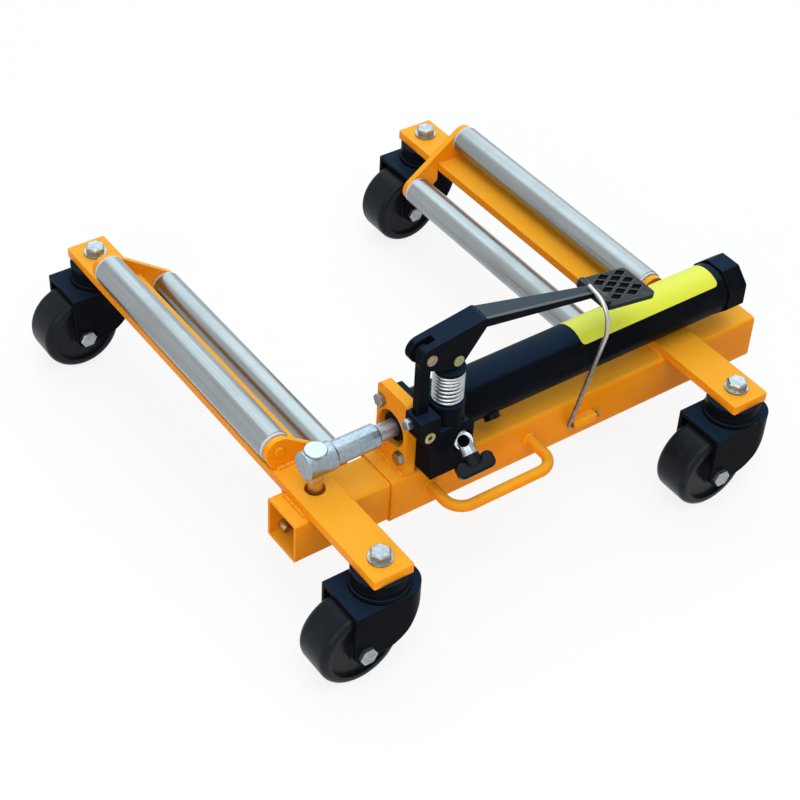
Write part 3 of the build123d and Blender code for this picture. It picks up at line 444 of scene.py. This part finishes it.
# the rod's blue tint is a painted reflection of the sky
small_metal("rod_steel", (0.32, 0.38, 0.45, 1), (0.45, 0.52, 0.6, 1), 0.36, spots=420)
small_metal("pin_steel", (0.5, 0.42, 0.29, 1), (0.68, 0.6, 0.45, 1), 0.26, second=bright_head)
small_metal("yellow_zinc", (0.36, 0.3, 0.12, 1), (0.55, 0.5, 0.27, 1), 0.3, spots=160)
small_metal("bronze", (0.22, 0.17, 0.12, 1), (0.36, 0.29, 0.21, 1), 0.36, second=green_pin)
print("finishes so far:", ", ".join(finishes))

# %% [markdown]
# ## Plastic and rubber
# Wheels, knob, roller bushes and pedal pad are moulded. A mould leaves a fine even grain, wheels gather pale
# scuffs on the tread, and rubber is the most matt of all. One recipe takes the colour of clean and scuffed
# places, the roughness and the size of the grain. On the pad, shoes polish the ribs pale, so there the edges
# reach further. Its sides and pockets get painted shade: an Ambient Occlusion node finds the hollows, and faces
# that don't look up are darkened too.

# %% Mould the plastics
def moulded(name, clean, scuffed, roughness, grain_size, depth, shine=0.2, worn_edge=0.0009, edge_share=0.25,
            shaded_hollow=None):
    """A moulded plastic or rubber with scuffs, worn edges, and painted shade in its hollows and on its sides where
    a reach is given.
    """
    material, tone = start_finish(name)
    skin = grain(tone, grain_size, 3)
    scuff = between(tone, grain(tone, 70, 6), 0.52, 0.78)
    tint = grain(tone, 16, 2)
    edge_normal = rounded(tone, worn_edge)
    edge = near_edge(tone, edge_normal)
    colour = blend_colour(tone, tint * 0.5, clean, [part * 1.35 for part in clean[:3]] + [1])
    colour = blend_colour(tone, scuff * 0.35 + edge * edge_share, colour, scuffed)
    if shaded_hollow:
        # painted shade: hollows and faces that don't look up are darkened
        open_sky = tone.node("ShaderNodeAmbientOcclusion", {"samples": 8, "only_local": True},
                             {"Distance": shaded_hollow}, output="AO")
        hollow_shade = [part * 0.3 for part in clean[:3]] + [1]
        unshaded_top = between(tone, open_sky, 0.7, 0.97) * facing_up(tone, 0.3, 0.8)
        colour = blend_colour(tone, unshaded_top, hollow_shade, colour)
    close_finish(tone, colour, roughness + scuff * 0.12, raised(tone, skin, depth, edge_normal),
                 {"Specular IOR Level": shine, "Specular Tint": (0.7, 0.84, 1, 1)})
    finishes[name] = material


moulded("wheel_nylon", (0.0074, 0.0086, 0.0105, 1), (0.024, 0.026, 0.029, 1), 0.3, 520, 0.00012, shine=0.12)
moulded("black_plastic", (0.0045, 0.0048, 0.0056, 1), (0.016, 0.017, 0.018, 1), 0.28, 700, 0.0001, shine=0.1)
moulded("white_bush", (0.5, 0.52, 0.56, 1), (0.5, 0.47, 0.42, 1), 0.42, 400, 0.00008, shine=0.5)
moulded("pad_rubber", (0.0085, 0.0095, 0.0105, 1), (0.24, 0.248, 0.245, 1), 0.5, 820, 0.0002, worn_edge=0.0016,
        edge_share=0.9, shaded_hollow=0.006)
print("finishes so far:", len(finishes))

# %% [markdown]
# ## Dressing the solids
# Each solid already knows its slot, because the record lists one for every node. The record's slots and the
# finishes above share their names, so one loop hands each solid its material. Five solids then get a finish of
# their own: the knuckle is a bluer plating than the rollers, the hook is dull drawn wire with a painted highlight
# over its bend, the plunger is blackened with oil, the gland, deep in the bracket's hole, is painted black as
# shade, and the lever's forearm carries a painted sheen and highlight.

# %% Dress every solid
for part in frame["record"]["subparts"]:
    for place in nodes[part["node"]].material_slots:
        place.material = finishes[part["material_slot"]]
# the rod gland sits deep in the bracket's hole: its black is painted shade
own_finishes = {"knuckle": "bright_zinc", "wire_hook": "dull_wire", "pump_plunger": "black_paint",
                "rod_gland": "black_paint", "pump_lever": "lever_paint"}
for name, finish in own_finishes.items():
    nodes[name].material_slots[0].material = finishes[finish]

# %% [markdown]
# ## Turning a bmesh into a piece
# Every new shape below ends in the same way: doubles merged, normals made to face out, the mesh handed to an
# object, and the object told which body carries it and given its finish. Faces are shaded smooth, with
# a limit on the angle so that real edges stay crisp.

# %% Make the piece helper
crease = radians(40)
double_reach = 1e-6


def make_piece(name, shape, body, finish):
    """Close a bmesh and ride it on a body where one is given."""
    bmesh.ops.remove_doubles(shape, verts=shape.verts, dist=double_reach)
    bmesh.ops.recalc_face_normals(shape, faces=shape.faces)
    mesh = bpy.data.meshes.new(name)
    shape.to_mesh(mesh)
    shape.free()
    mesh.polygons.foreach_set("use_smooth", [True] * len(mesh.polygons))
    mesh.set_sharp_from_angle(angle=crease)
    mesh.materials.append(finish)
    piece = bpy.data.objects.new(name, mesh)
    bpy.context.scene.collection.objects.link(piece)
    if body:
        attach(piece, body)
    return piece


print("pieces can be made")

# %% [markdown]
# ## The film on the barrel
# A bright yellow plastic film is wrapped over the top of the barrel. It starts as one flat face whose corners
# are bevelled round, is cut into strips so that it can bend, and is then rolled round the barrel: distance
# across the film becomes an angle. A thickness of a fifth of a millimetre lets its edge catch the light.

# %% Roll the film onto the barrel
material, tone = start_finish("film_yellow")
crinkle = grain(tone, 45, 3)
faded = grain(tone, 14, 3)
edge_normal = rounded(tone, 0.0005)
colour = blend_colour(tone, faded, (0.61, 0.645, 0.028, 1), (0.69, 0.71, 0.055, 1))
close_finish(tone, colour, 0.3 + crinkle * 0.12, raised(tone, crinkle, 0.0002, edge_normal, 0.6),
             {"Specular IOR Level": 0.3})
finishes["film_yellow"] = material

barrel_low, barrel_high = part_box("ram_barrel")
barrel_middle = (barrel_low + barrel_high) / 2
barrel_radius = (barrel_high.z - barrel_low.z) / 2
film_left = 0.0703
film_right = 0.254
film_half_angle = radians(46)
film_gap = 0.00006
film_thick = 0.0002
film_corner = 0.005
film_strips = 36

film_half = film_half_angle * barrel_radius
film = bmesh.new()
stretch = Matrix.Diagonal(((film_right - film_left) / 2, film_half, 1, 1))
bmesh.ops.create_grid(film, x_segments=1, y_segments=1, size=1, matrix=stretch)
bmesh.ops.bevel(film, geom=film.verts[:], offset=film_corner, segments=6, profile=0.5, affect="VERTICES",
                material=-1)
for strip in range(1, film_strips):
    across = film_half * (2 * strip / film_strips - 1)
    geometry = film.verts[:] + film.edges[:] + film.faces[:]
    bmesh.ops.bisect_plane(film, geom=geometry, plane_co=(0, across, 0), plane_no=(0, 1, 0))
bmesh.ops.solidify(film, geom=film.faces[:], thickness=film_thick)
for corner in film.verts:
    angle = -corner.co.y / barrel_radius
    height = barrel_radius + film_gap + film_thick + corner.co.z
    corner.co = (
        (film_left + film_right) / 2 + corner.co.x,
        barrel_middle.y - sin(angle) * height,
        barrel_middle.z + cos(angle) * height,
    )
film_piece = make_piece("barrel_film", film, "frame", finishes["film_yellow"])
print("film has", len(film_piece.data.polygons), "faces")

# %% [markdown]
# ## Weld runs
# Bars, bracket, plates and lug are welded on, and a weld is a row of overlapping puddles. A small disc is pushed
# along the seam in steps, swelling in the middle of every puddle and drawing in between them. Half of the run is
# buried in the steel on both sides of the corner, just as the real metal melts into it.

# %% Lay the straight welds
weld_radius = 0.0028
lug_weld_radius = 0.0017
weld_start = 0.5
weld_stop = 0.45
puddle = 0.0036
puddle_profile = ((0.2, 1.0), (0.3, 1.06), (0.3, 1.02), (0.2, 0.95))


def lay_weld(shape, start, end, radius):
    """A rippled run from start to end."""
    start, end = Vector(start), Vector(end)
    along = (end - start).normalized()
    count = max(2, round((end - start).length / puddle))
    step = (end - start).length / count
    place = Matrix.Translation(start) @ along.to_track_quat("Z", "Y").to_matrix().to_4x4()
    made = bmesh.ops.create_circle(shape, cap_ends=True, segments=12, radius=radius * weld_start, matrix=place)
    tip = made["verts"][0].link_faces[0]
    size = weld_start
    puddles = list(puddle_profile) * count
    puddles[-1] = (puddle_profile[-1][0], weld_stop)
    for share, swell in puddles:
        grown = bmesh.ops.extrude_face_region(shape, geom=[tip])
        tip = next(item for item in grown["geom"] if isinstance(item, bmesh.types.BMFace))
        middle = Matrix.Translation(-tip.calc_center_median())
        bmesh.ops.scale(shape, vec=(swell / size,) * 3, space=middle, verts=tip.verts[:])
        bmesh.ops.translate(shape, vec=along * step * share, verts=tip.verts[:])
        size = swell


weld_inset = 0.006
bracket_inset = 0.003
lug_inset = 0.002
lug_drop = 0.0012
weld_runs = {"frame": [], "sliding_arm": []}
for arm, body, beam in (("fixed", "frame", "outer_beam"), ("sliding", "sliding_arm", "inner_beam")):
    beam_low, beam_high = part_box(beam)
    bar_low, bar_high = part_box(f"{arm}_arm_bar")
    beam_front, beam_back = beam_low.y + weld_inset, beam_high.y - weld_inset
    bar_left, bar_right = bar_low.x + weld_inset, bar_high.x - weld_inset
    for x in (bar_low.x, bar_high.x):
        weld_runs[body].append(((x, beam_front, beam_high.z), (x, beam_back, beam_high.z), weld_radius))
    for y in (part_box(f"{arm}_front_plate")[0].y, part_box(f"{arm}_rear_plate")[1].y):
        weld_runs[body].append(((bar_left, y, bar_high.z), (bar_right, y, bar_high.z), weld_radius))

bracket_low, bracket_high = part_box("ram_bracket")
bracket_front, bracket_back = bracket_low.y + bracket_inset, bracket_high.y - bracket_inset
bracket_seam = [(bracket_low.x, y, bracket_low.z) for y in (bracket_front, bracket_back)]
weld_runs["frame"].append((*bracket_seam, weld_radius))
beam_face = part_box("outer_beam")[0].y
lug_low, lug_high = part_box("hook_lug")
for z in (lug_low.z + lug_drop, lug_high.z - lug_drop):
    lug_seam = [(x, beam_face, z) for x in (lug_low.x + lug_inset, lug_high.x - lug_inset)]
    weld_runs["frame"].append((*lug_seam, lug_weld_radius))

for body, runs in weld_runs.items():
    weld = bmesh.new()
    for start, end, radius in runs:
        lay_weld(weld, start, end, radius)
    piece = make_piece(f"{body}_welds", weld, body, finishes["frame_paint"])
    print(piece.name, "has", len(runs), "runs and", len(piece.data.polygons), "faces")

# %% [markdown]
# ## Ring welds of the carry handle
# Each leg of the handle stands on the beam's front face in a ring of weld. A ring is one rippled circle: the
# outline of a small disc is spun round the leg, and every other step of the spin is then swollen a little.

# %% Spin the ring welds
ring_radius = 0.0024
ring_steps = 40
ring_swell = 1.13
handle_low, handle_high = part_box("carry_handle")
handle_radius = (handle_high.z - handle_low.z) / 2
handle_height = (handle_high.z + handle_low.z) / 2
rings = bmesh.new()
for leg_x in (handle_low.x + handle_radius, handle_high.x - handle_radius):
    centre = Vector((leg_x, beam_face, handle_height))
    start = Matrix.Translation(centre + Vector((handle_radius, 0, 0)))
    outline = bmesh.ops.create_circle(rings, segments=10, radius=ring_radius, matrix=start)
    edges = list({edge for corner in outline["verts"] for edge in corner.link_edges})
    bmesh.ops.spin(rings, geom=outline["verts"] + edges, cent=centre, axis=(0, 1, 0), angle=2 * pi,
                   steps=ring_steps, use_merge=True)
    for corner in rings.verts:
        away = corner.co - centre
        if away.length > 2 * handle_radius:
            continue
        heading = Vector((away.x, 0, away.z)).normalized() * handle_radius
        if round(heading.angle(Vector((1, 0, 0))) / (2 * pi / ring_steps)) % 2:
            corner.co = centre + heading + (away - heading) * ring_swell
ring_piece = make_piece("handle_ring_welds", rings, "frame", finishes["frame_paint"])
print("ring welds have", len(ring_piece.data.polygons), "faces")

# %% [markdown]
# ## The stop screw in the inner beam
# Looking into the open end of the inner beam, the blunt end of a brass coloured screw shows near the bottom. It
# enters from the back wall, so its head is outside. A disc is extruded into a shank, a hexagon into a head, and
# both get a bevel where the real ones are turned.

# %% Turn the stop screw
inner_low, inner_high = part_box("inner_beam")
screw_from_end = 0.014
screw_below_middle = 0.0145
shank_radius = 0.0045
shank_length = 0.0145
head_radius = 0.0075
head_height = 0.0045
screw_bevel = 0.0009
screw_x = inner_low.x + screw_from_end
screw_z = (inner_low.z + inner_high.z) / 2 - screw_below_middle
facing = Matrix.Translation((screw_x, inner_high.y, screw_z)) @ Matrix.Rotation(-pi / 2, 4, "X")
screw = bmesh.new()
for sides, radius, length in ((24, shank_radius, -shank_length), (6, head_radius, head_height)):
    blank = bmesh.ops.create_circle(screw, cap_ends=True, segments=sides, radius=radius, matrix=facing)
    drawn_out = bmesh.ops.extrude_face_region(screw, geom=[blank["verts"][0].link_faces[0]])
    end_corners = [item for item in drawn_out["geom"] if isinstance(item, bmesh.types.BMVert)]
    bmesh.ops.translate(screw, vec=(0, length, 0), verts=end_corners)
    rim = [edge for edge in screw.edges if all(corner in end_corners for corner in edge.verts)]
    bmesh.ops.bevel(screw, geom=rim, offset=screw_bevel, segments=2, profile=0.5, affect="EDGES", material=-1)
screw_piece = make_piece("beam_stop_screw", screw, "sliding_arm", finishes["yellow_zinc"])
print("stop screw has", len(screw_piece.data.polygons), "faces")

# %% [markdown]
# ## The return spring
# The spring pushes the plunger back up after each stroke, so it grows longer as the lever rises. The solid spring
# can't stretch, and another that is wound the same way takes its place: a small disc is spun round the plunger and
# lifted a little at each step, with one close turn at the bottom, four open turns and three close ones at the top.

# %% Wind the return spring
spring_low, spring_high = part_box("pump_spring")
spring_middle = (spring_low + spring_high) / 2
wire_radius = 0.0015
close_pitch = 0.00375
close_below, open_turns, close_above = 1, 4, 3
turn_steps = 36
coil_radius = spring_high.x - wire_radius - spring_middle.x
spring_rise = spring_high.z - spring_low.z - 2 * wire_radius
open_pitch = (spring_rise - close_pitch * (close_below + close_above)) / open_turns

spring = bmesh.new()
wire_place = Vector((spring_middle.x + coil_radius, spring_middle.y, spring_low.z + wire_radius))
wire_end = Matrix.Translation(wire_place) @ Matrix.Rotation(pi / 2, 4, "X")
disc = bmesh.ops.create_circle(spring, cap_ends=True, segments=14, radius=wire_radius, matrix=wire_end)
wire_tip = disc["verts"][0].link_faces[0]
for turns, pitch in ((close_below, close_pitch), (open_turns, open_pitch), (close_above, close_pitch)):
    wound = bmesh.ops.spin(spring, geom=[wire_tip], cent=spring_middle, axis=(0, 0, 1), angle=2 * pi * turns,
                           steps=turn_steps * turns, dvec=(0, 0, pitch / turn_steps))
    wire_tip = next(item for item in wound["geom_last"] if isinstance(item, bmesh.types.BMFace))
spring_piece = make_piece("return_spring", spring, None, finishes["bright_wire"])
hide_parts("pump_spring")
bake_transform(spring_piece)
print("spring has", len(spring_piece.data.polygons), "faces, open pitch", round(open_pitch * 1000, 2), "mm")

# %% [markdown]
# ## Handing over
# Paint and welds must not make the object bigger.

# %% Hand over
import json
